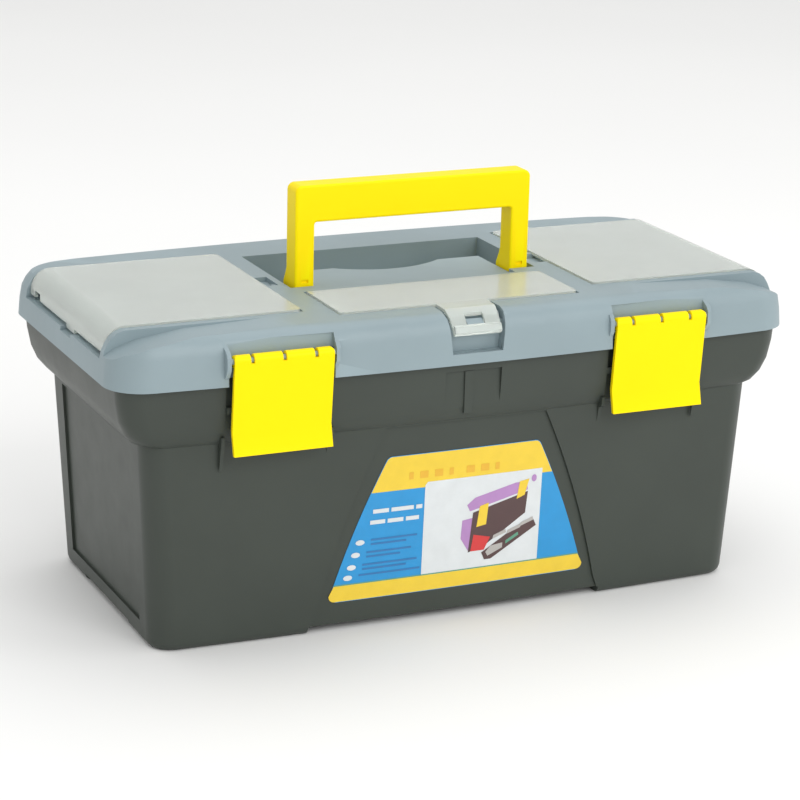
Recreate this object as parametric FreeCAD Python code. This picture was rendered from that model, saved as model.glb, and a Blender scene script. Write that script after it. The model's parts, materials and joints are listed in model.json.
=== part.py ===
import FreeCAD, Part
import math
import os

# Plastic toolbox with a lift-out tray, three organiser bins in its lid, two latches and a folding handle.
# Millimetres. +X runs along the box, -Y is the front, +Z is up.
# The origin is the middle of the footprint, on the surface that the box stands on.

os.makedirs("parts", exist_ok=True)
V = FreeCAD.Vector

# ---------------------------------------------------------------- driving dimensions
LENGTH = 412.0            # over the lid's ends
DEPTH = 208.0             # over the latches and the hinge knuckles
BOW = 6.0                 # how far the middle of a long side stands out past its corners
WALL = 3.0                # tub wall
LID_WALL = 2.2            # lid skin
BIN_WALL = 2.0            # walls of the bins moulded into the lid

TUB_FOOT_X = 180.0        # half length of the tub at the ground
TUB_FOOT_Y = 86.8         # half depth of the tub at the ground
FOOT_BOW = 3.5            # the long sides bow less at the ground
CREASE_Z = 118.3          # where the collar flares out of the tub wall
CREASE_X = 186.3
CREASE_Y = 92.7
TUB_CORNER = 14.0
TUB_BOTTOM_ROUND = 4.5
INNER_ROUND = 6.0         # rounding between the tub's floor and its inner wall
RIM_Z = 156.0             # top of the tub's rim, inside the lid's skirt
COLLAR_X = 15.0           # how far the collar stands out from the tub wall, along the length
COLLAR_Y = 6.0            # the same, across the depth
FLOOR_Z = 7.5             # inside floor of the tub
ARCH_Z = 4.3              # height of the arches between the feet
ARCH_X = 91.0             # half length of the front and rear arch
ARCH_Y = 38.0             # half width of the end arches
PANEL_DEPTH = 1.5         # how deep the front, rear and end panels are sunk
PANEL_TOP_X = 49.0        # half length of the front panel at the crease
PANEL_MID = (75.0, 54.0)  # a point on the flared edge of the front panel
PANEL_LOW_Z = 12.0        # the flare turns down into the feet here
END_PANEL_Y = 60.0        # half width of the end panels

LID_Z = 152.8             # lower edge of the lid
TOP_Z = 181.0             # flat top of the lid
LID_X = LENGTH / 2
LID_Y = 103.0
LID_CORNER = 22.0

BIN_X0 = 93.0             # end bins
BIN_X1 = 187.0
BIN_Y = 61.0
BIN_FLOOR = 154.8
CENTRE_X = 68.0           # centre bin
CENTRE_Y0 = -73.0
CENTRE_Y1 = -36.0
CENTRE_FLOOR = 157.0

COVER_T = 1.8             # clear covers
COVER_Z = 182.0           # top of the closed covers
COVER_X0 = 89.3
COVER_Y = 66.0
END_ROUND = 12.0          # the end covers curl down over the lid's ends
END_LIP_X = 202.0
END_LIP_Z = 167.5
LEDGE_Z = 165.5           # ledge of the lid under the curled end
LEDGE_X = 189.4
END_PIVOT_X = 197.5
END_PIVOT_Z = 172.5
CENTRE_COVER_Y = -79.5    # front edge of the centre cover, where its snap tab begins
PEG_R = 1.5               # cover pegs
PEG_CLEAR = 0.05          # running clearance of every pin and peg

HANDLE_X = 73.0           # half length of the carry handle
LEG_W = 11.6
LEG_D = 14.4
BAR_H = 21.3
HANDLE_TOP = 238.2
HEEL = 5.0                # how far the foot of each leg widens to the rear
PIVOT_Y = -8.7
PIVOT_Z = 173.0
HANDLE_PIN_R = 2.5
LEG_SLOT_X = HANDLE_X - LEG_W - 1.4      # inner side of the slots that the legs stand in
WELL_X = HANDLE_X + 3.5                  # well that takes the folded handle
WELL_Y = 58.5
WELL_FLOOR = 159.8
PLATFORM_Z = 179.0                       # sunk face between the legs
PLATFORM_Y = 23.5                        # rear edge of that face
SCOOP_X = 34.0                           # half width of the bay in its rear edge
SCOOP_DEPTH = 12.0

LATCH_X0 = 85.6
LATCH_X1 = 142.4
LATCH_PIVOT_Y = -100.6
LATCH_PIVOT_Z = 167.0
LATCH_R = 3.4
LATCH_PIN_R = 1.6
CHANNEL_SIDE = 1.5        # room beside each latch
CHANNEL_Y = -93.2         # back of the tub's latch channel
LID_CHANNEL_Y = -96.5     # back of the lid's latch channel
CHEEK_T = 2.4             # cheeks that stand out of the lid's flank and hold the latch pins' ends
GUSSET_Z = 115.0          # foot of the gussets beside each latch

HINGE_Y = 100.6
HINGE_Z = 151.0
HINGE_R = 3.4
HINGE_PIN_R = 1.5
HINGE_MID = 118.0

TRAY_X = 178.0
TRAY_Y = 83.0
TRAY_FLOOR = 84.0
TRAY_WALL = 2.0
FLANGE_X = 187.0
FLANGE_Y = 90.9
FLANGE_Z = 125.4
FLANGE_T = 2.2
FLANGE_CORNER = 13.0
GRIP_TOP = 150.0
TRAY_LEAN = 0.12          # how much the tray's walls lean out per millimetre of height
DIVIDER_REACH = 73.4      # from the tray's middle wall to the foot of a divider

LABEL_TOP_X = 46.5        # the label: a trapezoid with slightly bulging sides
LABEL_TOP_Z = 100.3
LABEL_MID = (64.6, 60.0)
LABEL_LOW_X = 79.6
LABEL_LOW_Z = 17.0
LABEL_T = 0.3
LABEL_SINK = 0.02         # how far the wafer sinks into the panel


# ---------------------------------------------------------------- shape helpers
def box(x0, x1, y0, y1, z0, z1):
    return Part.makeBox(x1 - x0, y1 - y0, z1 - z0, V(x0, y0, z0))


def cyl_x(x0, x1, y, z, r):
    return Part.makeCylinder(r, x1 - x0, V(x0, y, z), V(1, 0, 0))


def cyl_y(y0, y1, x, z, r):
    return Part.makeCylinder(r, y1 - y0, V(x, y0, z), V(0, 1, 0))


def prism(points, along):
    """Close a flat outline and extrude it along a vector."""
    wire = Part.makePolygon(points + [points[0]])
    return Part.Face(wire).extrude(along)


def prism_yz(points, x0, x1):
    return prism([V(x0, y, z) for y, z in points], V(x1 - x0, 0, 0))


def prism_xz(points, y0, y1):
    return prism([V(x, y0, z) for x, z in points], V(0, y1 - y0, 0))


def mirror_x(shape):
    return shape.mirror(V(0, 0, 0), V(1, 0, 0))


def both_ends(shape):
    return shape.fuse(mirror_x(shape))


def union(shapes):
    return shapes[0].multiFuse(shapes[1:])


def solid(shape):
    """Merge coplanar faces and return one clean solid."""
    clean = shape.removeSplitter()
    solids = clean.Solids
    if len(solids) != 1:
        print("pieces:", len(solids), [round(s.Volume) for s in solids])
    return solids[0] if len(solids) == 1 else clean


def outline(half_x, half_y, corner, z, bow=BOW):
    """Rounded rectangle at height z whose two long sides bow outwards."""
    chord = half_x - corner
    big = (chord * chord + bow * bow) / (2 * bow)
    arc_y = big - half_y
    mid_y = math.sqrt((big - corner) ** 2 - chord ** 2) - arc_y
    reach = big / (big - corner)
    tan_x = chord * reach
    tan_y = (mid_y + arc_y) * reach - arc_y
    lean = math.atan2(tan_y - mid_y, tan_x - chord) / 2
    knee_x = chord + corner * math.cos(lean)
    knee_y = mid_y + corner * math.sin(lean)
    edges = []
    for turn in (1, -1):
        right = V(turn * half_x, turn * mid_y, z)
        rear = V(turn * tan_x, turn * tan_y, z)
        left = V(-turn * tan_x, turn * tan_y, z)
        left_end = V(-turn * half_x, turn * mid_y, z)
        edges.append(Part.Arc(right, V(turn * knee_x, turn * knee_y, z), rear).toShape())
        edges.append(Part.Arc(rear, V(0, turn * half_y, z), left).toShape())
        edges.append(Part.Arc(left, V(-turn * knee_x, turn * knee_y, z), left_end).toShape())
        edges.append(Part.makeLine(left_end, V(-turn * half_x, -turn * mid_y, z)))
    return Part.Wire(edges)


def stack(sections):
    """Ruled solid through outlines given as (half_x, half_y, corner, z)."""
    return Part.makeLoft([outline(*s) for s in sections], True, True)


def wall_at(z):
    """Half length, half depth and bow of the tub wall at height z below the crease."""
    part = z / CREASE_Z
    half_x = TUB_FOOT_X + (CREASE_X - TUB_FOOT_X) * part
    half_y = TUB_FOOT_Y + (CREASE_Y - TUB_FOOT_Y) * part
    return half_x, half_y, FOOT_BOW + (BOW - FOOT_BOW) * part


def round_steps(radius, steps):
    """Inset and rise of points round a quarter circle, from the underside up to the wall."""
    turns = [math.radians(90.0 * i / steps) for i in range(steps + 1)]
    return [(radius * (1 - math.sin(a)), radius * (1 - math.cos(a))) for a in turns]


# ---------------------------------------------------------------- tub
COLLAR = [(0.0, 0.0), (0.31, 0.06), (0.60, 0.20), (0.81, 0.40), (0.94, 0.68), (1.0, 1.0)]   # (outward, up)


def tub_body(inset, base, round_radius):
    """Tapered tub wall from its rounded foot up to the crease."""
    sections = []
    for inwards, rise in round_steps(round_radius, 3):
        half_x, half_y, bow = wall_at(base + rise)
        shrink = inset + inwards
        sections.append((half_x - shrink, half_y - shrink, max(TUB_CORNER - shrink, 4.0), base + rise, bow))
    sections.append((CREASE_X - inset, CREASE_Y - inset, TUB_CORNER - inset, CREASE_Z, BOW))
    return sections


def collar(inset, lift, top):
    """Sections of the collar, flaring out of the crease like the side of a bowl."""
    low = CREASE_Z + lift
    return [(CREASE_X + COLLAR_X * out - inset, CREASE_Y + COLLAR_Y * out - inset,
             TUB_CORNER - inset * 0.6, low + (top - low) * up, BOW) for out, up in COLLAR]


def tub_panels():
    """Sunken panels: a flared one on the front and rear, a plain one on each end."""
    core = stack(tub_body(PANEL_DEPTH, -1.0, TUB_BOTTOM_ROUND))
    low_z = 2.0
    right = [V(PANEL_TOP_X, 0, CREASE_Z - 0.5), V(PANEL_MID[0], 0, PANEL_MID[1]), V(ARCH_X - 4, 0, PANEL_LOW_Z)]
    left = [V(-p.x, 0, p.z) for p in reversed(right)]
    flare = Part.Wire([
        Part.makeLine(left[2], right[0]),
        Part.Arc(*right).toShape(),
        Part.makeLine(right[2], V(ARCH_X, 0, low_z)),
        Part.makeLine(V(ARCH_X, 0, low_z), V(-ARCH_X, 0, low_z)),
        Part.makeLine(V(-ARCH_X, 0, low_z), left[0]),
        Part.Arc(*left).toShape(),
    ])
    trapezoid = Part.Face(flare).extrude(V(0, 2 * DEPTH, 0))
    trapezoid.translate(V(0, -DEPTH, 0))
    ends = box(160, LENGTH, -END_PANEL_Y, END_PANEL_Y, PANEL_LOW_Z, CREASE_Z - 4)
    return trapezoid.fuse(both_ends(ends)).cut(core)


def tub_channels(outer):
    """Latch channels set back into the front of the collar, and a shallow one in the middle."""
    x0 = LATCH_X0 - CHANNEL_SIDE
    x1 = LATCH_X1 + CHANNEL_SIDE
    side = 2.0
    backing = box(x0 - side, x1 + side, -DEPTH, CHANNEL_Y + 1.8, CREASE_Z - 1, RIM_Z).common(outer)
    room = box(x0, x1, -DEPTH, CHANNEL_Y, CREASE_Z - 2, RIM_Z + 1)
    catch = box(x0, x1, CHANNEL_Y - 3.6, CHANNEL_Y + 0.5, 137.0, 140.5)
    gusset = [(-92.6, GUSSET_Z + 1), (-97.3, GUSSET_Z + 4), (-97.3, GUSSET_Z + 8), (-89.8, GUSSET_Z + 8),
              (-89.8, GUSSET_Z - 13)]
    gussets = prism_yz(gusset, x0 - side, x0).fuse(prism_yz(gusset, x1, x1 + side))
    middle = box(-17, 17, -DEPTH, -96.6, CREASE_Z + 4, 148.0)
    rib = box(-5, 0, -97.6, -95.5, CREASE_Z + 5, 147.5)
    return both_ends(backing), both_ends(room), both_ends(catch), both_ends(gussets), middle, rib


def tub_knuckles():
    """Rear hinge knuckles, each on an arm that reaches back from the collar."""
    x0 = HINGE_MID - 9.4
    x1 = HINGE_MID + 9.4
    barrel = cyl_x(x0, x1, HINGE_Y, HINGE_Z, HINGE_R)
    arm = box(x0, x1, 93.5, HINGE_Y, HINGE_Z - HINGE_R, HINGE_Z + 1.0)
    bore = cyl_x(x0 - 1, x1 + 1, HINGE_Y, HINGE_Z, HINGE_PIN_R + PEG_CLEAR)
    return both_ends(barrel.fuse(arm)), both_ends(bore)


def make_tub():
    outer = stack(tub_body(0.0, 0.0, TUB_BOTTOM_ROUND)[:-1] + collar(0.0, 0.0, RIM_Z))
    inner = stack(tub_body(WALL, FLOOR_Z, INNER_ROUND)[:-1] + collar(WALL, WALL, RIM_Z + 1))
    backing, room, catch, gussets, middle, rib = tub_channels(outer)
    knuckles, bores = tub_knuckles()
    tub = outer.cut(inner).fuse(backing)
    tub = tub.cut(room.fuse(middle).fuse(tub_panels()))
    arches = box(-ARCH_X, ARCH_X, -DEPTH, DEPTH, -1, ARCH_Z).fuse(box(-LENGTH, LENGTH, -ARCH_Y, ARCH_Y, -1, ARCH_Z))
    tub = tub.cut(arches)
    tub = union([tub, catch, gussets.common(stack(collar(0.0, GUSSET_Z - CREASE_Z - 14, RIM_Z))), rib, knuckles])
    return solid(tub.cut(bores))


# ---------------------------------------------------------------- lid
LID_SHOULDER = [(0.0, 0.0, 0.0), (0.7, 0.5, 0.34), (2.0, 0.9, 0.60), (4.0, 2.0, 0.75), (6.4, 4.2, 0.875),
                (9.4, 7.4, 0.955), (13.0, 11.5, 1.0)]      # (inwards at the ends, inwards at the sides, up)


def lid_sections(inset, low, top):
    return [(LID_X - inset - end, LID_Y - inset - side, LID_CORNER - inset * 0.6 - side * 0.3,
             low + (top - low) * up) for end, side, up in LID_SHOULDER]


def lid_pockets():
    """Spaces sunk into the lid as (x0, x1, y0, y1, floor): bins, handle well, platform, scoop and leg slots."""
    pockets = [
        (-CENTRE_X, CENTRE_X, CENTRE_Y0, CENTRE_Y1, CENTRE_FLOOR),
        (-WELL_X, WELL_X, PLATFORM_Y - 0.5, WELL_Y, WELL_FLOOR),
        (-LEG_SLOT_X, LEG_SLOT_X, -26.0, PLATFORM_Y, PLATFORM_Z),
    ]
    for turn in (1, -1):
        pockets.append((turn * BIN_X0, turn * BIN_X1, -BIN_Y, BIN_Y, BIN_FLOOR))
        pockets.append((turn * LEG_SLOT_X, turn * WELL_X, -18.0, PLATFORM_Y, WELL_FLOOR))
    return [(min(a, b), max(a, b), c, d, e) for a, b, c, d, e in pockets]


def lid_scoop():
    """Shallow rounded bay in the rear edge of the platform, for the fingers that lift the handle."""
    radius = (SCOOP_X ** 2 + SCOOP_DEPTH ** 2) / (2 * SCOOP_DEPTH)
    centre_y = PLATFORM_Y - SCOOP_DEPTH + radius
    strip = box(-SCOOP_X - BIN_WALL, SCOOP_X + BIN_WALL, PLATFORM_Y - SCOOP_DEPTH - BIN_WALL, PLATFORM_Y,
                WELL_FLOOR - BIN_WALL, TOP_Z)
    wall = Part.makeCylinder(radius + BIN_WALL, TOP_Z - WELL_FLOOR + BIN_WALL, V(0, centre_y, WELL_FLOOR - BIN_WALL))
    room = Part.makeCylinder(radius, COVER_Z - WELL_FLOOR, V(0, centre_y, WELL_FLOOR))
    return wall.common(strip), room.common(box(-SCOOP_X, SCOOP_X, 0, PLATFORM_Y, WELL_FLOOR, COVER_Z))


def lid_latch_channels():
    x0 = LATCH_X0 - CHANNEL_SIDE
    x1 = LATCH_X1 + CHANNEL_SIDE
    base = RIM_Z + 1.2
    wall = box(x0 - 2, x1 + 2, -DEPTH, LID_CHANNEL_Y + 2, base, TOP_Z)
    room = box(x0, x1, -DEPTH, LID_CHANNEL_Y, LID_Z - 1, TOP_Z - 4)
    pin = cyl_x(x0 - 1.7, x1 + 1.7, LATCH_PIVOT_Y, LATCH_PIVOT_Z, LATCH_PIN_R + PEG_CLEAR)
    side = [(LID_CHANNEL_Y + 1, LATCH_PIVOT_Z - 11), (LATCH_PIVOT_Y + 0.4, LATCH_PIVOT_Z - 9),
            (LATCH_PIVOT_Y - 2.4, LATCH_PIVOT_Z - 4), (LATCH_PIVOT_Y - 2.4, LATCH_PIVOT_Z + 2.4),
            (LATCH_PIVOT_Y - 0.6, LATCH_PIVOT_Z + 5), (LID_CHANNEL_Y + 1, LATCH_PIVOT_Z + 8)]
    cheeks = prism_yz(side, x0 - CHEEK_T, x0).fuse(prism_yz(side, x1, x1 + CHEEK_T))
    return both_ends(wall), both_ends(room), both_ends(cheeks), both_ends(pin)


def lid_ends():
    """Ledge, side walls and peg holes under each curled cover end."""
    low = LEDGE_Z - 2
    side = COVER_Y + 0.6
    block = box(LEDGE_X - 2.4, LENGTH, -side - 2.2, side + 2.2, low, TOP_Z)
    tongue = box(190.4, LENGTH, -18.6, 2.6, low - 2.2, LEDGE_Z)
    room = box(LEDGE_X, LENGTH, -side, side, LEDGE_Z, COVER_Z + 1)
    dip = box(192.4, LENGTH, -17, 1, low, COVER_Z)
    holes = cyl_y(-side - 1.7, side + 1.7, END_PIVOT_X, END_PIVOT_Z, PEG_R + PEG_CLEAR)
    return both_ends(block.fuse(tongue)), both_ends(room.fuse(dip)), both_ends(holes)


def lid_seats():
    """Shallow recesses that the clear covers lie in, and the finger slots beside the end covers."""
    seat_z = COVER_Z - COVER_T - 0.2
    end = box(COVER_X0 - 0.6, LEDGE_X + 2, -COVER_Y - 0.6, COVER_Y + 0.6, seat_z, COVER_Z)
    slot = box(80.5, COVER_X0 + 1.5, -9.5, 9.5, TOP_Z - 2.6, COVER_Z)
    centre = box(-73.2, 73.2, CENTRE_COVER_Y - 0.7, -28.2, seat_z, COVER_Z)
    hinge_trough = box(-73.2, 73.2, -34.5, -28.2, 175.9, COVER_Z)
    return both_ends(end.fuse(slot)).fuse(centre).fuse(hinge_trough)


def lid_notch():
    """Pocket in the front flank under the snap tab, with the small catch that holds the tab."""
    top = 17.6
    low = 15.2
    outline_points = [(-top, COVER_Z), (top, COVER_Z), (low, 159.0), (-low, 159.0)]
    room = prism_xz(outline_points, -DEPTH, -95.5)
    room = union([room, box(-top, top, -97, -91, 174.6, COVER_Z), box(-top, top, -97, -84.5, TOP_Z - 3.2, COVER_Z),
                  box(-top, top, -85, CENTRE_COVER_Y, TOP_Z - 1.2, COVER_Z)])
    backing = box(-top - 2, top + 2, -99.5, -78.5, 157.2, TOP_Z)
    hollow = box(-top - 3, top + 3, -93.3, -78, 150, 172.4).fuse(
        box(-top - 3, top + 3, -88.8, -78, 150, TOP_Z - 5.4))
    backing = backing.cut(hollow)
    catch = prism_yz([(-95.0, 176.5), (-99.3, 174.0), (-95.0, 171.5)], -5.0, 5.0)
    return backing, room, catch


def lid_knuckles():
    mid = HINGE_MID
    barrels = cyl_x(mid - 18.5, mid - 10, HINGE_Y, HINGE_Z, HINGE_R).fuse(
        cyl_x(mid + 10, mid + 18.5, HINGE_Y, HINGE_Z, HINGE_R))
    webs = box(mid - 18.5, mid - 10, HINGE_Y - 2.2, HINGE_Y + 0.5, HINGE_Z, HINGE_Z + 8).fuse(
        box(mid + 10, mid + 18.5, HINGE_Y - 2.2, HINGE_Y + 0.5, HINGE_Z, HINGE_Z + 8))
    relief = box(mid - 10, mid + 10, HINGE_Y - 4.5, DEPTH, LID_Z - 1, HINGE_Z + 7)
    bore = cyl_x(mid - 19, mid + 19, HINGE_Y, HINGE_Z, HINGE_PIN_R + PEG_CLEAR)
    return both_ends(barrels.fuse(webs)), both_ends(relief), both_ends(bore)


def lid_falls():
    """The lid's top falls away towards its corners, before and behind the end covers, most at the front."""
    front = [(112.0, TOP_Z), (160.0, TOP_Z - 1.5), (185.0, TOP_Z - 5.0), (198.0, TOP_Z - 9.0),
             (LID_X, TOP_Z - 14.0), (LID_X, COVER_Z), (112.0, COVER_Z)]
    rear = [(112.0, TOP_Z), (160.0, TOP_Z - 0.7), (LID_X, TOP_Z - 3.5), (LID_X, COVER_Z), (112.0, COVER_Z)]
    beside = COVER_Y + 5.5
    return both_ends(prism_xz(front, -DEPTH, -beside).fuse(prism_xz(rear, beside, DEPTH)))


def lid_corner_skins(outer):
    """Thicker skin where the top falls away, so that the fall doesn't open the lid."""
    skins = []
    for thick, x0, x1 in ((5.5, 100.0, 150.0), (12.0, 150.0, LID_X)):
        skin = outer.cut(stack(lid_sections(thick, LID_Z - 1, TOP_Z - thick)))
        strip = box(x0, x1, -DEPTH, -COVER_Y - 3.5, TOP_Z - 20, TOP_Z)
        if thick < 10:
            strip = strip.fuse(box(x0, LID_X, COVER_Y + 3.5, DEPTH, TOP_Z - 8, TOP_Z))
        skins.append(skin.common(both_ends(strip)))
    return skins


def lid_rim_rests():
    """Short ribs inside the lid that sit on the tub's rim."""
    ribs = []
    for x in (160.0, 40.0):
        for turn in (1, -1):
            ribs.append(box(x, x + 2, min(turn * 90, turn * 101), max(turn * 90, turn * 101), RIM_Z + 0.1, TOP_Z - 1))
    return both_ends(union(ribs))


def make_lid():
    outer = stack(lid_sections(0.0, LID_Z, TOP_Z))
    inner = stack(lid_sections(LID_WALL, LID_Z - 1, TOP_Z - LID_WALL))
    channel_wall, channel_room, cheeks, latch_bore = lid_latch_channels()
    end_block, end_room, peg_holes = lid_ends()
    notch_wall, notch_room, notch_catch = lid_notch()
    knuckles, relief, hinge_bore = lid_knuckles()
    walls = [channel_wall, end_block, notch_wall, lid_rim_rests()]
    rooms = [channel_room, end_room, notch_room, lid_seats(), relief]
    scoop_wall, scoop_room = lid_scoop()
    walls.append(scoop_wall)
    rooms.append(scoop_room)
    for x0, x1, y0, y1, floor in lid_pockets():
        walls.append(box(x0 - BIN_WALL, x1 + BIN_WALL, y0 - BIN_WALL, y1 + BIN_WALL, floor - BIN_WALL, TOP_Z))
        rooms.append(box(x0, x1, y0, y1, floor, COVER_Z))
    walls.append(box(-75.6, 75.6, -36.5, -26.2, 173.9, TOP_Z))
    walls.append(both_ends(box(78.5, 92.5, -11.5, 11.5, 176.4, TOP_Z)))
    walls.extend(lid_corner_skins(outer))
    lid = outer.cut(inner)
    lid = lid.fuse(union(walls).common(outer))
    lid = lid.cut(lid_falls()).cut(union(rooms))
    lid = lid.fuse(knuckles).fuse(notch_catch).fuse(cheeks)
    handle_bore = cyl_x(LEG_SLOT_X - 3, WELL_X + 4, PIVOT_Y, PIVOT_Z, HANDLE_PIN_R + PEG_CLEAR)
    boss = box(WELL_X, WELL_X + 6.5, PIVOT_Y - 5, PIVOT_Y + 5, PIVOT_Z - 5, TOP_Z - 1)
    inner_boss = box(LEG_SLOT_X - 4.5, LEG_SLOT_X, PIVOT_Y - 5, PIVOT_Y + 5, PIVOT_Z - 5, PLATFORM_Z - 0.5)
    lid = lid.fuse(both_ends(boss.fuse(inner_boss)))
    centre_holes = cyl_x(-74.9, 74.9, -31.6, 179.2, PEG_R - 0.5 + PEG_CLEAR)
    lid = lid.cut(union([latch_bore, peg_holes, hinge_bore, both_ends(handle_bore), centre_holes]))
    return solid(lid)


# ---------------------------------------------------------------- latches and handle
def make_latch():
    """Bent yellow plate: snap barrels at the top, a knee over the catch, and a flared finger lip."""
    y = LATCH_PIVOT_Y
    z = LATCH_PIVOT_Z
    front = y - LATCH_R
    t = 2.2
    plate = prism_yz([(front, z), (front + 3.4, 127.5), (front + 0.2, 115.0), (front + t + 0.2, 115.0),
                      (front + 3.2 + t, 126.5), (front + 3.4 + t, 128.5), (front + t, z)], LATCH_X0, LATCH_X1)
    barrel = cyl_x(LATCH_X0, LATCH_X1, y, z, LATCH_R)
    hook = prism_yz([(front + 4.2, 136.6), (front + 9.0, 136.6), (front + 9.0, 135.2), (front + 5.2, 130.5),
                     (front + 4.0, 130.5)], LATCH_X0 + 8, LATCH_X1 - 8)
    latch = plate.fuse(barrel).fuse(hook)
    span = LATCH_X1 - LATCH_X0
    for part in (0.18, 0.5, 0.82):
        mid = LATCH_X0 + span * part
        latch = latch.cut(box(mid - 1.1, mid + 1.1, y - 5, y + 5, z - 1.2, z + 5))
    for x in (LATCH_X0, LATCH_X1):
        corner = box(x - 2.2, x + 2.2, y - 5, y + 5, z + 1.2, z + 5)
        inside = x + 2.2 if x == LATCH_X0 else x - 2.2
        latch = latch.cut(corner.cut(cyl_y(y - 6, y + 6, inside, z + 1.2, 2.2)))
    return solid(latch.cut(cyl_x(LATCH_X0 - 1, LATCH_X1 + 1, y, z, LATCH_PIN_R + PEG_CLEAR)))


def make_handle():
    """Square-section bail with eyes at the feet of its legs."""
    x1 = HANDLE_X
    y0 = PIVOT_Y - LEG_D / 2
    y1 = PIVOT_Y + LEG_D / 2
    bail = box(-x1, x1, y0, y1, PIVOT_Z, HANDLE_TOP)
    bail = bail.cut(box(-x1 + LEG_W, x1 - LEG_W, y0 - 1, y1 + 1, PIVOT_Z - 1, HANDLE_TOP - BAR_H))
    outer_edges = [e for e in bail.Edges if abs(e.BoundBox.ZMax - HANDLE_TOP) < 0.01
                   and e.BoundBox.YLength > LEG_D - 0.1 and abs(abs(e.BoundBox.XMax) - x1) < 0.01]
    bail = bail.makeFillet(4.0, outer_edges)
    inner_z = HANDLE_TOP - BAR_H
    inner_edges = [e for e in bail.Edges if abs(e.BoundBox.ZMin - inner_z) < 0.01 and e.BoundBox.ZLength < 0.01
                   and e.BoundBox.YLength > LEG_D - 0.1]
    bail = bail.makeFillet(1.6, inner_edges)
    rim = [e for e in bail.Edges if e.BoundBox.YLength < 0.01 and e.BoundBox.ZMax > PIVOT_Z + 1]
    bail = bail.makeFillet(1.5, rim)
    heel = prism_yz([(y1 - 3, PIVOT_Z + 19), (y1 - 0.2, PIVOT_Z + 18), (y1 + HEEL * 0.35, PIVOT_Z + 13),
                     (y1 + HEEL, PIVOT_Z + 7), (y1 + HEEL, PIVOT_Z + 1), (y1 + HEEL * 0.4, PIVOT_Z - 3),
                     (y1 - 3, PIVOT_Z - 4)], x1 - LEG_W + 0.7, x1 - 0.7)
    mid_x = x1 - LEG_W / 2
    dimple = box(mid_x - 2.2, mid_x + 2.2, y0 - 1, y0 + 1.2, PIVOT_Z + 9.4, PIVOT_Z + 11.4)
    bail = bail.fuse(both_ends(cyl_x(x1 - LEG_W, x1, PIVOT_Y, PIVOT_Z, LEG_D / 2).fuse(heel)))
    bore = cyl_x(x1 - LEG_W - 1, x1 + 1, PIVOT_Y, PIVOT_Z, HANDLE_PIN_R + PEG_CLEAR)
    return solid(bail.cut(both_ends(bore.fuse(dimple))))


# ---------------------------------------------------------------- clear covers
def make_end_cover():
    """Flat cover whose outer end curls down over the lid's end and turns on two pegs there."""
    t = COVER_T
    flat_x = END_LIP_X - END_ROUND
    outer = Part.Wire([
        Part.makeLine(V(COVER_X0, 0, COVER_Z), V(flat_x, 0, COVER_Z)),
        Part.Arc(V(flat_x, 0, COVER_Z),
                 V(flat_x + END_ROUND * math.sin(math.pi / 4), 0,
                   COVER_Z - END_ROUND + END_ROUND * math.cos(math.pi / 4)),
                 V(END_LIP_X, 0, COVER_Z - END_ROUND)).toShape(),
        Part.makeLine(V(END_LIP_X, 0, COVER_Z - END_ROUND), V(END_LIP_X, 0, END_LIP_Z)),
        Part.makeLine(V(END_LIP_X, 0, END_LIP_Z), V(END_LIP_X - t, 0, END_LIP_Z)),
        Part.makeLine(V(END_LIP_X - t, 0, END_LIP_Z), V(END_LIP_X - t, 0, COVER_Z - END_ROUND)),
        Part.Arc(V(END_LIP_X - t, 0, COVER_Z - END_ROUND),
                 V(flat_x + (END_ROUND - t) * math.sin(math.pi / 4), 0,
                   COVER_Z - END_ROUND + (END_ROUND - t) * math.cos(math.pi / 4)),
                 V(flat_x, 0, COVER_Z - t)).toShape(),
        Part.makeLine(V(flat_x, 0, COVER_Z - t), V(COVER_X0, 0, COVER_Z - t)),
        Part.makeLine(V(COVER_X0, 0, COVER_Z - t), V(COVER_X0, 0, COVER_Z)),
    ])
    cover = Part.Face(outer).extrude(V(0, 2 * COVER_Y, 0))
    cover.translate(V(0, -COVER_Y, 0))
    corners = [e for e in cover.Edges if e.BoundBox.ZLength > t - 0.01 and e.BoundBox.XLength < 0.01
               and e.BoundBox.YLength < 0.01 and e.BoundBox.XMax < COVER_X0 + 0.1]
    cover = cover.makeFillet(4.0, corners)
    tongue = box(END_LIP_X - t, END_LIP_X, -15, -1, END_LIP_Z - 2.4, END_LIP_Z + 1)
    cover = cover.fuse(tongue)
    cover = cover.cut(box(END_LIP_X - 4, END_LIP_X + 1, 48, 58, END_LIP_Z - 1, END_LIP_Z + 4))
    ear = 2.4
    for turn in (1, -1):
        a, b = sorted((turn * (COVER_Y - ear), turn * COVER_Y))
        web = box(END_PIVOT_X - 3, END_LIP_X - 1, a, b, END_PIVOT_Z - 3, COVER_Z - 5)
        web = web.common(cyl_y(a, b, END_LIP_X - END_ROUND, COVER_Z - END_ROUND, END_ROUND - 0.5).fuse(
            box(END_PIVOT_X - 3, END_LIP_X - 1, a, b, END_LIP_Z + 2, COVER_Z - END_ROUND)))
        a, b = sorted((turn * (COVER_Y - ear), turn * (COVER_Y + 2.0)))
        cover = cover.fuse(web).fuse(cyl_y(a, b, END_PIVOT_X, END_PIVOT_Z, PEG_R))
    return solid(cover)


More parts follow.
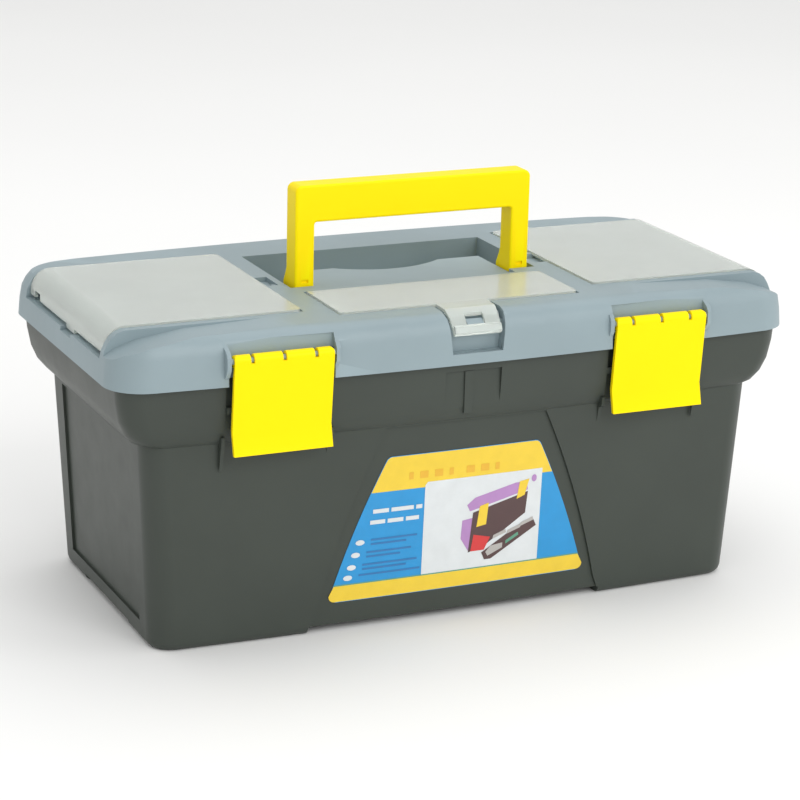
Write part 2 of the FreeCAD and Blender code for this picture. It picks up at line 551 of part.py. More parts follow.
def make_centre_cover():
    """Flat cover hinged at its rear edge, with a snap tab that hangs over the front of the lid."""
    y0 = CENTRE_COVER_Y
    y1 = -31.6
    half = 72.4
    plate = box(-half, half, y0, y1, COVER_Z - COVER_T, COVER_Z)
    corners = [e for e in plate.Edges if e.BoundBox.ZLength > COVER_T - 0.01 and e.BoundBox.YMax < y0 + 0.1]
    plate = plate.makeFillet(3.0, corners)
    r = 1.6
    peg_z = 179.2
    spine = cyl_x(-half, half, y1, peg_z, r).fuse(box(-half, half, y1 - r, y1, peg_z, COVER_Z - 0.2))
    pegs = cyl_x(-half - 2.2, half + 2.2, y1, peg_z, PEG_R - 0.5)
    t = 1.6
    profile = [(y0 + 1, COVER_Z), (-90.1, COVER_Z - 0.4), (-96.0, COVER_Z - 4.1), (-99.8, 173.0),
               (-102.4, 169.8), (-101.2, 168.8), (-98.4, 172.6), (-94.8, COVER_Z - 5.3),
               (-89.6, COVER_Z - 0.4 - t), (y0 + 1, COVER_Z - t)]
    wide = 15.4
    narrow = 14.0
    tab = prism_yz(profile, -wide, wide)
    taper = prism([V(-wide, y0 + 2, 0), V(wide, y0 + 2, 0), V(wide, -88.6, 0), V(narrow, -104.6, 0),
                   V(-narrow, -104.6, 0), V(-wide, -88.6, 0)], V(0, 0, 400))
    window = box(-5.6, 5.6, -99.5, -93.6, 171.0, COVER_Z - 0.9)
    lip = prism_yz([(-99.6, 174.6), (-101.6, 174.2), (-103.2, 171.0), (-102.2, 169.9), (-99.6, 172.6)], -narrow, narrow)
    tab = tab.common(taper).cut(window).fuse(lip)
    return solid(union([plate, spine, pegs, tab]))


# ---------------------------------------------------------------- tray and small parts
def make_tray():
    """Lift-out tray: a tapered pan on a flange, with a long middle wall that carries the grip."""
    deep = 5.0
    corner = 10.0
    t = TRAY_WALL
    outer = stack([(TRAY_X - deep, TRAY_Y - deep, corner, TRAY_FLOOR), (TRAY_X, TRAY_Y, corner, FLANGE_Z + FLANGE_T)])
    inner = stack([(TRAY_X - deep - t, TRAY_Y - deep - t, corner - t, TRAY_FLOOR + t),
                   (TRAY_X - t, TRAY_Y - t, corner - t, FLANGE_Z + FLANGE_T + 1)])
    flange = stack([(FLANGE_X, FLANGE_Y, FLANGE_CORNER, z) for z in (FLANGE_Z, FLANGE_Z + FLANGE_T)])
    pan = outer.fuse(flange).cut(inner)
    wall = box(-TRAY_X + 2, TRAY_X - 2, -1.2, 1.2, TRAY_FLOOR + 1, FLANGE_Z)
    pan = pan.fuse(wall.common(outer))
    grip = prism_xz([(-78, FLANGE_Z - 5), (-60, GRIP_TOP), (60, GRIP_TOP), (78, FLANGE_Z - 5)], -4.0, 4.0)
    slot = box(-48, 48, -8, 8, FLANGE_Z + 1, GRIP_TOP - 8)
    ends = [e for e in slot.Edges if e.BoundBox.YLength > 15]
    slot = slot.makeFillet(3.0, ends)
    skirt = box(-80, 80, -2.5, 2.5, TRAY_FLOOR + 1, FLANGE_Z)
    pan = pan.fuse(union([grip, skirt])).cut(slot)
    low = TRAY_FLOOR + 1
    high = FLANGE_Z - 6
    for x, side in tray_divider_places():
        foot = side * (DIVIDER_REACH - 2.0)
        lean = side * TRAY_LEAN * (high - low)
        for step in (-1, 1):
            a, b = sorted((x + step * 1.1, x + step * 2.3))
            outer_rail = [(foot, low), (foot + side * 4, low), (foot + side * 4 + lean, high), (foot + lean, high)]
            inner_rail = [(side * 1.0, low), (side * 4.0, low), (side * 4.0, high), (side * 1.0, high)]
            pan = pan.fuse(prism_yz(outer_rail, a, b)).fuse(prism_yz(inner_rail, a, b))
    return solid(pan)


def tray_divider_places():
    """Where the loose tray dividers stand, as (x, side)."""
    return [(-98.0, -1), (98.0, -1), (105.0, 1)]


def make_tray_divider(x, side):
    low = TRAY_FLOOR + TRAY_WALL + 0.05
    high = FLANGE_Z - 4
    near = side * 1.6
    foot = side * DIVIDER_REACH
    top = side * (DIVIDER_REACH + TRAY_LEAN * (high - low))
    return prism_yz([(near, low), (foot, low), (top, high), (near, high)], x - 0.8, x + 0.8)


def make_bin_divider():
    """Loose divider across an end bin."""
    return box(139.2, 140.8, -BIN_Y + 0.3, BIN_Y - 0.3, BIN_FLOOR + 0.05, COVER_Z - 5)


def make_centre_divider():
    return box(22.2, 23.8, CENTRE_Y0 + 0.3, CENTRE_Y1 - 0.3, CENTRE_FLOOR + 0.05, COVER_Z - 5)


def front_arc(z, inset, half):
    """Left end, middle and right end of the front wall's arc at height z, moved inwards by the inset."""
    half_x, half_y, bow = wall_at(z)
    chord = half_x - TUB_CORNER
    big = (chord * chord + bow * bow) / (2 * bow)
    end_y = big - half_y - math.sqrt(big * big - half * half) + inset
    return V(-half, end_y, z), V(0, inset - half_y, z), V(half, end_y, z)


def make_label():
    """Printed sticker on the front panel, a wafer that follows the sloping, bowed wall."""
    sit = PANEL_DEPTH - LABEL_SINK
    slices = []
    for z in (LABEL_LOW_Z - 3, LABEL_TOP_Z + 3):
        front = front_arc(z, sit - LABEL_T, LABEL_LOW_X + 3)
        back = front_arc(z, sit, LABEL_LOW_X + 3)
        slices.append(Part.Wire([Part.Arc(*front).toShape(), Part.makeLine(front[2], back[2]),
                                 Part.Arc(*reversed(back)).toShape(), Part.makeLine(back[0], front[0])]))
    wafer = Part.makeLoft(slices, True, True)
    right = [V(LABEL_TOP_X, 0, LABEL_TOP_Z), V(LABEL_MID[0], 0, LABEL_MID[1]), V(LABEL_LOW_X, 0, LABEL_LOW_Z)]
    left = [V(-p.x, 0, p.z) for p in reversed(right)]
    edge = Part.Wire([Part.Arc(*right).toShape(), Part.makeLine(right[2], left[0]), Part.Arc(*left).toShape(),
                      Part.makeLine(left[2], right[0])])
    block = Part.Face(edge).extrude(V(0, DEPTH, 0))
    block.translate(V(0, -DEPTH, 0))
    corners = [e for e in block.Edges if abs(e.BoundBox.YLength - DEPTH) < 0.1 and e.BoundBox.ZLength < 0.1]
    return solid(wafer.common(block.makeFillet(4.0, corners)))


def hinge_pin():
    return cyl_x(HINGE_MID - 18.5, HINGE_MID + 18.5, HINGE_Y, HINGE_Z, HINGE_PIN_R)


def latch_pin():
    return cyl_x(LATCH_X0 - CHANNEL_SIDE - 1.6, LATCH_X1 + CHANNEL_SIDE + 1.6, LATCH_PIVOT_Y, LATCH_PIVOT_Z,
                 LATCH_PIN_R)


def handle_pin():
    return cyl_x(LEG_SLOT_X - 2.5, WELL_X + 3.5, PIVOT_Y, PIVOT_Z, HANDLE_PIN_R)


# ---------------------------------------------------------------- write the parts
def write(name, shape):
    shape.exportStep("parts/" + name + ".step")
    box_ = shape.BoundBox
    print("%-24s solids %d valid %s vol %9.0f  x %.1f..%.1f y %.1f..%.1f z %.1f..%.1f" % (
        name, len(shape.Solids), shape.isValid(), shape.Volume, box_.XMin, box_.XMax, box_.YMin, box_.YMax,
        box_.ZMin, box_.ZMax))


def write_pair(name, right):
    """Write a right-hand part and its mirror image."""
    write(name + "_right", right)
    write(name + "_left", mirror_x(right))


write("tub", make_tub())
write("lid", make_lid())
write_pair("latch", make_latch())
write_pair("latch_pin", latch_pin())
write_pair("lid_hinge_pin", hinge_pin())
write("carry_handle", make_handle())
write_pair("handle_pin", handle_pin())
write_pair("cover", make_end_cover())
write("cover_centre", make_centre_cover())
write("tray", make_tray())
write("tray_divider_front_left", make_tray_divider(*tray_divider_places()[0]))
write("tray_divider_front_right", make_tray_divider(*tray_divider_places()[1]))
write("tray_divider_rear", make_tray_divider(*tray_divider_places()[2]))
write_pair("bin_divider", make_bin_divider())
write_pair("centre_divider", make_centre_divider())
write("front_label", make_label())
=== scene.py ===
import json
import math

import bmesh
import bpy
from mathutils import Matrix, Vector
from mathutils.bvhtree import BVHTree


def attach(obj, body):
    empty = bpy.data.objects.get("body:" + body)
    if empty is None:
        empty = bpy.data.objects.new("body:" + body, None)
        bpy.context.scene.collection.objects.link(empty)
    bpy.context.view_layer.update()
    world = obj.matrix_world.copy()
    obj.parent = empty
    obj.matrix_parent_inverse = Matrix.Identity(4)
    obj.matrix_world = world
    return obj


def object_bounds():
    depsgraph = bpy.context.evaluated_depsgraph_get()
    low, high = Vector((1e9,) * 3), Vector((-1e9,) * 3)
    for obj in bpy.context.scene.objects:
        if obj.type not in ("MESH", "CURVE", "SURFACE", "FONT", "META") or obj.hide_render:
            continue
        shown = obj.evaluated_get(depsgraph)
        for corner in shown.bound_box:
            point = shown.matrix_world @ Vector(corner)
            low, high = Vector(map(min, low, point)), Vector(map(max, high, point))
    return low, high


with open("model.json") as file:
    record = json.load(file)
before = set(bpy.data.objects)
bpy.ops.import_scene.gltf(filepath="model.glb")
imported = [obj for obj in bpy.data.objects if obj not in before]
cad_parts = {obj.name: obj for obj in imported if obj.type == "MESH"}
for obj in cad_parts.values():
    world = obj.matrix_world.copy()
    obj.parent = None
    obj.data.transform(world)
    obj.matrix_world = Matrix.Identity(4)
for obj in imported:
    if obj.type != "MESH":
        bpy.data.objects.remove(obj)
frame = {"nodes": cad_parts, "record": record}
cad_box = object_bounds()
nodes = frame["nodes"]
MM = 0.001                            # metres

# ---------------------------------------------------------------- view
VIEW_AZIMUTH = -24.42                 # degrees, from straight in front towards the left end
VIEW_ELEVATION = 16.73                # degrees above the horizon
VIEW_ROLL = 1.38                      # degrees
VIEW_DISTANCE = 1.5647                # metres from the target
VIEW_TARGET = Vector((-0.0071, 0.0, 0.1106))
VIEW_LENS = 120.7                     # focal length, mm
VIEW_SENSOR = 36.0                    # sensor width, mm
VIEW_SHIFT = (0.0151, -0.0155)        # lens shift, in widths of the picture
VIEW_CLIP_END = 30.0                  # metres


def view_axes(azimuth, elevation, roll):
    """Right, up and back vectors of a camera at these angles in degrees."""
    az = math.radians(azimuth)
    el = math.radians(elevation)
    tilt = math.radians(roll)
    back = Vector((math.sin(az) * math.cos(el), -math.cos(az) * math.cos(el), math.sin(el)))
    right = Vector((math.cos(az), math.sin(az), 0.0))
    up = back.cross(right)
    return (math.cos(tilt) * right + math.sin(tilt) * up,
            -math.sin(tilt) * right + math.cos(tilt) * up,
            back)


def add_camera():
    """Camera that looks at the box from the front left, a little above it."""
    right, up, back = view_axes(VIEW_AZIMUTH, VIEW_ELEVATION, VIEW_ROLL)
    turn = Matrix((right, up, back)).transposed()
    camera = bpy.data.objects.new("camera", bpy.data.cameras.new("camera"))
    camera.data.lens = VIEW_LENS
    camera.data.sensor_width = VIEW_SENSOR
    camera.data.shift_x, camera.data.shift_y = VIEW_SHIFT
    camera.data.clip_end = VIEW_CLIP_END
    camera.matrix_world = Matrix.Translation(VIEW_TARGET + back * VIEW_DISTANCE) @ turn.to_4x4()
    bpy.context.scene.collection.objects.link(camera)
    bpy.context.scene.camera = camera


# ---------------------------------------------------------------- node helpers
def new_material(name):
    """Empty node material with its principled shader."""
    material = bpy.data.materials.new(name)
    material.use_nodes = True
    return material, material.node_tree.nodes["Principled BSDF"]


def add_node(material, kind, **values):
    """New node of a kind, with its properties set."""
    node = material.node_tree.nodes.new(kind)
    for key, value in values.items():
        setattr(node, key, value)
    return node


def link(material, out, into):
    """Join one socket to another."""
    material.node_tree.links.new(out, into)


def noise(material, scale, detail=3.0, roughness=0.5):
    """Noise through the solid in object space, with scale in cycles per metre."""
    place = add_node(material, "ShaderNodeTexCoord")
    texture = add_node(material, "ShaderNodeTexNoise")
    texture.inputs["Scale"].default_value = scale
    texture.inputs["Detail"].default_value = detail
    texture.inputs["Roughness"].default_value = roughness
    link(material, place.outputs["Object"], texture.inputs["Vector"])
    return texture.outputs["Fac"]


def ramp(material, value, stops):
    """Colour ramp through (position, colour) stops."""
    node = add_node(material, "ShaderNodeValToRGB")
    elements = node.color_ramp.elements
    while len(elements) < len(stops):
        elements.new(0.5)
    for element, (position, colour) in zip(elements, stops):
        element.position = position
        element.color = (*colour, 1.0) if len(colour) == 3 else colour
    link(material, value, node.inputs["Fac"])
    return node.outputs["Color"]


def mapped(material, value, low, high):
    """Value from 0 to 1, stretched to run from low to high."""
    node = add_node(material, "ShaderNodeMapRange")
    node.inputs["To Min"].default_value = low
    node.inputs["To Max"].default_value = high
    link(material, value, node.inputs["Value"])
    return node.outputs["Result"]


def bump(material, shader, heights, distance, strength):
    """Relief that only shades, its depth given in metres."""
    node = add_node(material, "ShaderNodeBump")
    node.inputs["Distance"].default_value = distance
    node.inputs["Strength"].default_value = strength
    link(material, heights, node.inputs["Height"])
    link(material, node.outputs["Normal"], shader.inputs["Normal"])


def scaled(colour, factor):
    """Lighter or darker colour, clipped at white."""
    return tuple(min(1.0, channel * factor) for channel in colour)


# ---------------------------------------------------------------- materials
RAMP_LOW, RAMP_HIGH = 0.3, 0.7        # noise rarely goes outside these values, so colour ramps end there
SCUFF_START, SCUFF_END = 0.58, 0.66   # pointiness between which a corner goes from clean to scuffed
SCUFF_TINT = 1.35                     # brightness of a fully scuffed corner, against the plain colour
SCUFF_SHARE = 0.35                    # how much of that tint shows
PLASTIC_IOR = 1.49
COVER_IOR = 1.46
COVER_TRANSMISSION = 0.64


def mottled(material, value, dark, light):
    """Colour that wanders between dark and light as the noise does."""
    return ramp(material, value, [(RAMP_LOW, dark), (RAMP_HIGH, light)])


def scuffed(material, body, colour):
    """The body colour, with its sharpest corners worn lighter."""
    geometry = add_node(material, "ShaderNodeNewGeometry")
    stops = [(SCUFF_START, (0, 0, 0)), (SCUFF_END, (1, 1, 1))]
    worn = ramp(material, geometry.outputs["Pointiness"], stops)
    mix = add_node(material, "ShaderNodeMix", data_type="RGBA")
    factor, plain, tinted = mix.inputs[0], mix.inputs[6], mix.inputs[7]
    tinted.default_value = (*scaled(colour, SCUFF_TINT), 1.0)
    share = add_node(material, "ShaderNodeMath", operation="MULTIPLY")
    share.inputs[1].default_value = SCUFF_SHARE
    link(material, worn, share.inputs[0])
    link(material, share.outputs[0], factor)
    link(material, body, plain)
    return mix.outputs[2]


def moulded(name, colour, roughness, grain=0.06 * MM, spread=0.08, specular=0.5):
    """Moulded plastic: faint flow mottling, uneven gloss, a fine grain and scuffed corners."""
    material, shader = new_material(name)
    flow = noise(material, 14.0, detail=4.0, roughness=0.55)
    body = mottled(material, flow, scaled(colour, 1.0 - spread), scaled(colour, 1.0 + spread))
    link(material, scuffed(material, body, colour), shader.inputs["Base Color"])
    gloss = noise(material, 60.0, detail=5.0, roughness=0.6)
    link(material, mapped(material, gloss, roughness - 0.06, roughness + 0.08), shader.inputs["Roughness"])
    skin = noise(material, 1600.0, detail=2.0)
    bump(material, shader, skin, distance=grain, strength=0.5)
    shader.inputs["IOR"].default_value = PLASTIC_IOR
    shader.inputs["Specular IOR Level"].default_value = specular
    return material


def milky(name, colour):
    """Translucent moulded plastic that blurs what lies under it."""
    material, shader = new_material(name)
    cloud = noise(material, 22.0, detail=3.0)
    link(material, mottled(material, cloud, scaled(colour, 0.96), colour), shader.inputs["Base Color"])
    gloss = noise(material, 45.0, detail=4.0, roughness=0.6)
    link(material, mapped(material, gloss, 0.16, 0.22), shader.inputs["Roughness"])
    shader.inputs["Transmission Weight"].default_value = COVER_TRANSMISSION
    shader.inputs["IOR"].default_value = COVER_IOR
    skin = noise(material, 700.0, detail=2.0)
    bump(material, shader, skin, distance=0.01 * MM, strength=0.2)
    return material


def bare_steel(name):
    """Bare steel of the pins, unevenly bright."""
    material, shader = new_material(name)
    tarnish = noise(material, 260.0, detail=4.0, roughness=0.7)
    link(material, mottled(material, tarnish, STEEL_DARK, STEEL_LIGHT), shader.inputs["Base Color"])
    link(material, mapped(material, tarnish, 0.25, 0.42), shader.inputs["Roughness"])
    shader.inputs["Metallic"].default_value = 1.0
    return material


def printed(name, colour):
    """Ink under a glossy film, with the faint unevenness of paper."""
    material, shader = new_material(name)
    paper = noise(material, 90.0, detail=4.0, roughness=0.6)
    link(material, mottled(material, paper, scaled(colour, 0.95), scaled(colour, 1.03)),
         shader.inputs["Base Color"])
    gloss = noise(material, 30.0)
    link(material, mapped(material, gloss, 0.26, 0.36), shader.inputs["Roughness"])
    fibre = noise(material, 120.0)
    bump(material, shader, fibre, distance=0.08 * MM, strength=0.3)
    shader.inputs["Coat Weight"].default_value = 0.3
    shader.inputs["Coat Roughness"].default_value = 0.15
    return material


TUB_COLOUR = (0.042, 0.051, 0.042)
LID_COLOUR = (0.250, 0.320, 0.345)
YELLOW = (0.97, 0.75, 0.0)
MILKY = (0.93, 0.98, 0.93)
LABEL_BLUE = (0.008, 0.27, 0.60)
LABEL_YELLOW = (0.80, 0.56, 0.03)
LABEL_DEEP_BLUE = (0.02, 0.16, 0.40)
LABEL_WHITE = (0.66, 0.69, 0.70)
LABEL_GREEN = (0.10, 0.30, 0.20)
LABEL_AMBER = (0.75, 0.42, 0.02)
LABEL_PURPLE = (0.42, 0.22, 0.48)
LABEL_DARK = (0.075, 0.035, 0.035)
LABEL_RED = (0.60, 0.03, 0.03)
LABEL_SILVER = (0.42, 0.40, 0.38)
STEEL_DARK = (0.48, 0.48, 0.49)
STEEL_LIGHT = (0.66, 0.66, 0.65)
FLOOR_DARK = (0.88, 0.88, 0.87)
FLOOR_LIGHT = (0.90, 0.90, 0.89)

materials = {
    "tub_plastic": moulded("tub_plastic", TUB_COLOUR, 0.42, grain=0.08 * MM, specular=0.4),
    "lid_plastic": moulded("lid_plastic", LID_COLOUR, 0.44, spread=0.05),
    "yellow_plastic": moulded("yellow_plastic", YELLOW, 0.40, spread=0.02, specular=0.12),
    "clear_plastic": milky("clear_plastic", MILKY),
    "tray_plastic": moulded("tray_plastic", TUB_COLOUR, 0.46),
    "divider_plastic": moulded("divider_plastic", LID_COLOUR, 0.40),
    "printed_label": printed("printed_label", LABEL_BLUE),
    "steel": bare_steel("steel"),
}


# ---------------------------------------------------------------- CAD nodes
EDGE_WIDTHS = {                       # width in mm of the rounding on each piece's edges
    "tub": 0.8,
    "lid": 0.7,
    "tray": 0.5,
    "carry_handle": 0.4,
    "latch_left": 0.5,
    "latch_right": 0.5,
    "cover_left": 0.4,
    "cover_right": 0.4,
    "cover_centre": 0.4,
}
EDGE_ANGLE = math.radians(32)         # only edges sharper than this are rounded
WELD_DISTANCE = 0.02 * MM
NORMAL_WEIGHT = 100                   # the largest face at a corner decides its shading, and stays flat
NORMAL_THRESHOLD = 0.001              # faces whose weights are this close count the same


def finish_node(name, node, slot):
    """Give a CAD node its material and softly rounded edges."""
    node.data.materials.clear()
    node.data.materials.append(materials[slot])
    for polygon in node.data.polygons:
        polygon.material_index = 0
        polygon.use_smooth = True
    weld = node.modifiers.new("weld", "WELD")
    weld.merge_threshold = WELD_DISTANCE
    if name in EDGE_WIDTHS:
        bevel = node.modifiers.new("edges", "BEVEL")
        bevel.width = EDGE_WIDTHS[name] * MM
        bevel.segments = 2
        bevel.limit_method = "ANGLE"
        bevel.angle_limit = EDGE_ANGLE
        bevel.use_clamp_overlap = True
        bevel.miter_outer = "MITER_ARC"
        bevel.harden_normals = True
    normals = node.modifiers.new("normals", "WEIGHTED_NORMAL")
    normals.keep_sharp = True
    normals.weight = NORMAL_WEIGHT
    normals.thresh = NORMAL_THRESHOLD


def finish_nodes():
    """Finish every CAD node with the material that its record names."""
    for part in frame["record"]["subparts"]:
        finish_node(part["node"], nodes[part["node"]], part["material_slot"])


# ---------------------------------------------------------------- label print
# Heights and widths in this section are in mm, as x and z on the label.
INK_T = 0.06                          # each printed layer lies this far above the one below
INK_EDGE = 12.0                       # longer edges of a patch are halved, so that it follows the label's bow
INK_SPLITS = 3                        # times that they are halved at most
INK_INSET = 0.25                      # print stops this far inside the label's sides
LABEL_RIGHT = ((46.5, 100.3), (64.6, 60.0), (79.6, 17.0))      # points down the label's right side
CORNER = 3.6                          # radius of the label's corners
CORNER_STEPS = 4
CORNER_LEAN = 0.35 * CORNER           # the label is this much wider at the foot of its top corners
TOP_BAND = (80.0, 100.0)              # low and high edges of the yellow bands
BOTTOM_BAND = (17.3, 26.6)
RULE_TOP = 27.4                       # thin green line above the bottom band
FIELD = [(-23.5, RULE_TOP), (49.5, RULE_TOP), (49.5, 83.0), (-22.0, 83.0), (-23.5, 81.0)]
TITLE_Z = 87.8
TITLE_HEIGHT = 4.2
TITLE_BARS = ((-33.5, -31.0), (-27.0, -22.0), (-18.0, -13.0), (-9.0, -6.5),
              (1.5, 6.5), (10.5, 15.5), (19.5, 22.0))
LINE_HEIGHT = 2.4                     # lines of bars, each with its height and the ends of its bars
LINE_BARS = ((69.0, ((-54.5, -45.0), (-43.5, -30.0), (-28.5, -24.8))),
             (62.6, ((-56.0, -47.0), (-45.5, -36.0), (-34.5, -26.5))))
BULLETS = ((-61.6, 51.3, 28.0), (-64.0, 44.1, 27.0), (-66.2, 36.9, 33.0), (-68.2, 30.9, 37.0))   # x, z, row
BULLET_SIZE = (2.7, 1.6)              # half width and half height
ROW_GAP = 6.5                         # from a bullet's middle to the rows beside it
ROW_HEIGHT = 1.1
UPPER_ROW = 1.0                       # rows above and below the bullet's middle
LOWER_ROW = -1.6


def label_surface():
    """Search tree over the label's mesh, which the print is draped on."""
    label = nodes["front_label"]
    bm = bmesh.new()
    bm.from_mesh(label.data)
    bm.transform(label.matrix_world)
    tree = BVHTree.FromBMesh(bm)
    bm.free()
    return tree


LABEL_TREE = label_surface()
IN_FRONT = -1.0                       # y of a place well in front of the box, in metres


def label_front(x, z):
    """y of the label's front face at x and z, in metres."""
    hit = LABEL_TREE.ray_cast(Vector((x, IN_FRONT, z)), Vector((0.0, 1.0, 0.0)))[0]
    if hit is None:
        hit = LABEL_TREE.find_nearest(Vector((x, cad_box[0][1], z)))[0]
    return hit.y


def label_side(z):
    """Half width of the label at height z, on the parabola through the points of its right side."""
    (top_x, top_z), (mid_x, mid_z), (low_x, low_z) = LABEL_RIGHT
    top = (z - mid_z) * (z - low_z) / ((top_z - mid_z) * (top_z - low_z))
    mid = (z - top_z) * (z - low_z) / ((mid_z - top_z) * (mid_z - low_z))
    low = (z - top_z) * (z - mid_z) / ((low_z - top_z) * (low_z - mid_z))
    return top_x * top + mid_x * mid + low_x * low


def split_long_edges(bm):
    """Cut a patch into triangles small enough to follow the label's bow."""
    bmesh.ops.triangulate(bm, faces=bm.faces[:])
    for _ in range(INK_SPLITS):
        long_edges = [edge for edge in bm.edges if edge.calc_length() > INK_EDGE * MM]
        if long_edges:
            bmesh.ops.subdivide_edges(bm, edges=long_edges, cuts=1)
            bmesh.ops.triangulate(bm, faces=[face for face in bm.faces if len(face.verts) > 3])


def add_ink(name, outline, colour, layer):
    """Thin printed patch inside an outline of (x, z) points, draped over the label."""
    lift = INK_T * MM * layer
    bm = bmesh.new()
    bm.faces.new([bm.verts.new((x * MM, label_front(x * MM, z * MM) - lift, z * MM)) for x, z in outline])
    split_long_edges(bm)
    for vert in bm.verts:
        vert.co.y = label_front(vert.co.x, vert.co.z) - lift
    bmesh.ops.recalc_face_normals(bm, faces=bm.faces[:])
    for face in bm.faces:
        if face.normal.y > 0:
            face.normal_flip()
    mesh = bpy.data.meshes.new(name)
    bm.to_mesh(mesh)
    bm.free()
    mesh.materials.append(colour)
    patch = bpy.data.objects.new(name, mesh)
    bpy.context.scene.collection.objects.link(patch)
    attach(patch, "tub")


def mirrored(right):
    """Closed outline from the points up its right side."""
    return right + [(-x, z) for x, z in reversed(right)]


def corner_angles():
    """Even steps round a quarter turn."""
    return [math.radians(90.0 * i / CORNER_STEPS) for i in range(CORNER_STEPS + 1)]


def label_band(low, high, steps=2):
    """Band across the label between two heights."""
    heights = [low + (high - low) * i / steps for i in range(steps + 1)]
    return mirrored([(label_side(z) - INK_INSET, z) for z in heights])


def rounded_low_band(low, high):
    """Band along the label's foot, its two lower corners rounded like the label's."""
    centre_x = label_side(low) - INK_INSET - CORNER
    centre_z = low + CORNER
    arc = [(centre_x + CORNER * math.sin(a), centre_z - CORNER * math.cos(a)) for a in corner_angles()]
    return mirrored(arc + [(label_side(high) - INK_INSET, high)])


def rounded_top_band(low, high):
    """Band along the label's top, its two upper corners rounded like the label's."""
    centre_x = label_side(high) - INK_INSET + CORNER_LEAN - CORNER
    centre_z = high - CORNER
    side = [(label_side(z) - INK_INSET, z) for z in (low, (low + centre_z) / 2, centre_z)]
    arc = [(centre_x + CORNER * math.cos(a), centre_z + CORNER * math.sin(a)) for a in corner_angles()[1:]]
    return mirrored(side + arc)


def ellipse(x, z, half_x, half_z, sides=14):
    """Outline of an ellipse about x and z."""
    turns = [2 * math.pi * i / sides for i in range(sides)]
    return [(x + half_x * math.cos(a), z + half_z * math.sin(a)) for a in turns]


def bar(x0, x1, z, height):
    """Outline of a level bar whose middle is at height z."""
    return [(x0, z - height / 2), (x1, z - height / 2), (x1, z + height / 2), (x0, z + height / 2)]


def label_inks():
    """One printed material for each ink."""
    colours = {
        "yellow": LABEL_YELLOW,
        "white": LABEL_WHITE,
        "deep_blue": LABEL_DEEP_BLUE,
        "green": LABEL_GREEN,
        "amber": LABEL_AMBER,
        "purple": LABEL_PURPLE,
        "dark": LABEL_DARK,
        "red": LABEL_RED,
        "silver": LABEL_SILVER,
    }
    return {name: printed("print_" + name, colour) for name, colour in colours.items()}


def add_label_print():
    """Generic print: bands, a pale picture field with a plain toolbox drawing, bars in place of words."""
    inks = label_inks()
    add_ink("print_top", rounded_top_band(*TOP_BAND), inks["yellow"], 1)
    add_ink("print_bottom", rounded_low_band(*BOTTOM_BAND), inks["yellow"], 1)
    add_ink("print_rule", label_band(BOTTOM_BAND[1], RULE_TOP), inks["green"], 1)
    add_ink("print_field", FIELD, inks["white"], 2)
    for x0, x1 in TITLE_BARS:
        add_ink("print_title_bar", bar(x0, x1, TITLE_Z, TITLE_HEIGHT), inks["amber"], 3)
    for z, spans in LINE_BARS:
        for x0, x1 in spans:
            add_ink("print_line", bar(x0, x1, z, LINE_HEIGHT), inks["white"], 3)
    for x, z, length in BULLETS:
        add_bullet(x, z, length, z > BULLETS[-1][1], inks)
    add_pictogram(inks)


def add_bullet(x, z, length, two_rows, inks):
    """White bullet with one or two thin rows beside it, which stand for lines of small print."""
    start = x + ROW_GAP
    add_ink("print_bullet", ellipse(x, z, *BULLET_SIZE), inks["white"], 3)
    add_ink("print_row", bar(start, start + length, z + UPPER_ROW, ROW_HEIGHT), inks["deep_blue"], 3)
    if two_rows:
        add_ink("print_row", bar(start, x + length, z + LOWER_ROW, ROW_HEIGHT), inks["deep_blue"], 3)


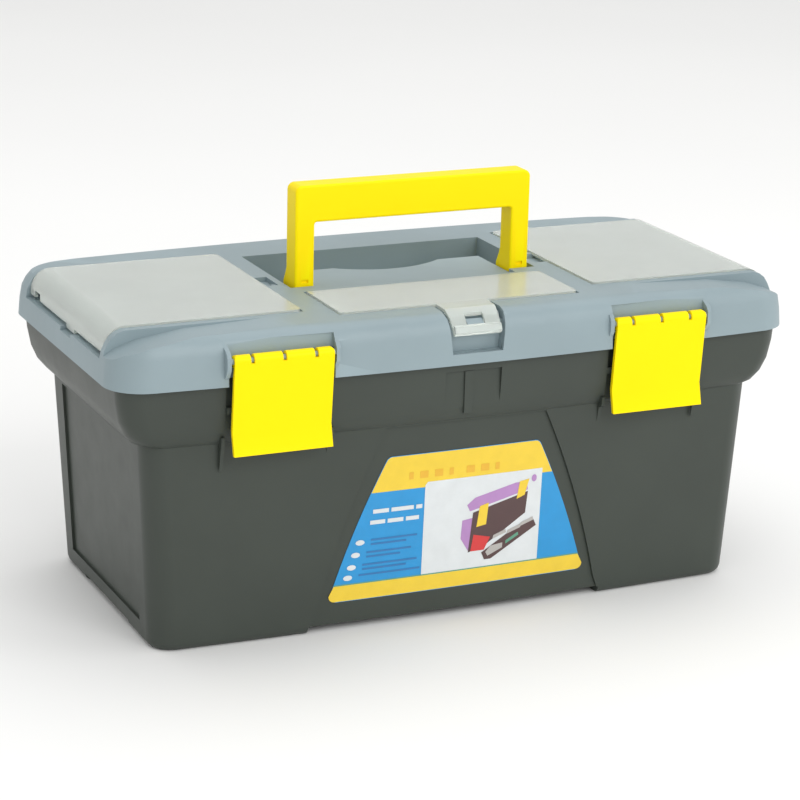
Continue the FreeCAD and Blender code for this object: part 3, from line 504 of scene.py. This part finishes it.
def add_pictogram(inks):
    """Open toolbox seen from the side: lid, body, two latches and a lifted tray of tools."""
    lid = [(3.0, 66.0), (8.0, 70.0), (33.0, 76.0), (40.0, 76.0), (41.0, 71.0), (5.0, 62.0)]
    side = [(0.0, 46.0), (5.0, 38.0), (8.0, 58.0), (0.5, 57.0)]
    body = [(5.0, 37.0), (15.0, 40.0), (40.0, 57.0), (41.0, 70.0), (7.0, 61.0)]
    left_latch = [(9.5, 52.0), (15.5, 53.0), (16.5, 66.0), (11.0, 64.5)]
    right_latch = [(34.0, 66.0), (39.0, 68.0), (41.5, 77.5), (35.5, 76.5)]
    red = [(6.5, 37.5), (15.0, 37.5), (18.5, 45.0), (8.0, 47.5)]
    tray = [(13.5, 36.0), (15.5, 31.5), (19.5, 31.5), (47.5, 48.5), (45.0, 53.5), (36.0, 50.0)]
    cloth = [(16.0, 36.0), (17.5, 33.5), (26.5, 37.5), (26.5, 40.5), (19.0, 39.5)]
    tools = [(20.0, 43.5), (29.0, 45.5), (37.0, 49.0)]
    green = [(28.5, 39.5), (36.5, 44.0), (36.0, 45.8), (28.5, 41.5)]
    add_ink("drawing_lid", lid, inks["purple"], 3)
    add_ink("drawing_side", side, inks["purple"], 3)
    add_ink("drawing_body", body, inks["dark"], 4)
    add_ink("drawing_latch", left_latch, inks["yellow"], 5)
    add_ink("drawing_latch", right_latch, inks["yellow"], 5)
    add_ink("drawing_red", red, inks["red"], 5)
    add_ink("drawing_tray", tray, inks["dark"], 5)
    add_ink("drawing_cloth", cloth, inks["silver"], 6)
    for x, z in tools:
        tool = [(x, z), (x + 8.5, z + 3.0), (x + 8.0, z + 5.0), (x + 0.5, z + 2.2)]
        add_ink("drawing_tool", tool, inks["silver"], 6)
    add_ink("drawing_green", green, inks["green"], 6)
    add_ink("drawing_knob", ellipse(44.5, 77.5, 1.6, 2.2), inks["purple"], 5)


# ---------------------------------------------------------------- stage
FLOOR_HALF = 6.0                      # metres
FLOOR_ROUGHNESS = 0.75
LIGHT_TARGET = Vector((0.0, 0.0, 0.12))
SKY_STRENGTH = 0.80


def add_floor():
    """Wide pale floor that the box stands on."""
    mesh = bpy.data.meshes.new("floor")
    corners = [(x * FLOOR_HALF, y * FLOOR_HALF, 0) for x, y in ((-1, -1), (1, -1), (1, 1), (-1, 1))]
    mesh.from_pydata(corners, [], [(0, 1, 2, 3)])
    floor = bpy.data.objects.new("floor", mesh)
    bpy.context.scene.collection.objects.link(floor)
    material, shader = new_material("floor")
    tone = noise(material, 1.5, detail=2.0)
    link(material, mottled(material, tone, FLOOR_DARK, FLOOR_LIGHT), shader.inputs["Base Color"])
    shader.inputs["Roughness"].default_value = FLOOR_ROUGHNESS
    mesh.materials.append(material)


def add_area(name, place, size, power):
    """White soft box at a place in metres, aimed at the box, its power in watts."""
    light = bpy.data.lights.new(name, "AREA")
    light.shape = "RECTANGLE"
    light.size, light.size_y = size
    light.energy = power
    lamp = bpy.data.objects.new(name, light)
    lamp.location = place
    aim = LIGHT_TARGET - Vector(place)
    lamp.rotation_euler = aim.to_track_quat("-Z", "Y").to_euler()
    bpy.context.scene.collection.objects.link(lamp)


def add_lights():
    """Front key, high fill and right fill under an even white sky."""
    add_area("key", (0.3, -2.3, 1.5), (1.8, 1.4), 26.0)
    add_area("top", (0.2, 0.5, 2.2), (2.4, 1.8), 14.0)
    add_area("right", (2.2, -1.1, 1.0), (1.2, 1.2), 8.0)
    world = bpy.data.worlds.new("world")
    world.use_nodes = True
    sky = world.node_tree.nodes["Background"]
    sky.inputs["Color"].default_value = (1.0, 1.0, 1.0, 1.0)
    sky.inputs["Strength"].default_value = SKY_STRENGTH
    bpy.context.scene.world = world
    bpy.context.scene.view_settings.view_transform = "Standard"


finish_nodes()
add_label_print()
add_floor()
add_lights()
add_camera()
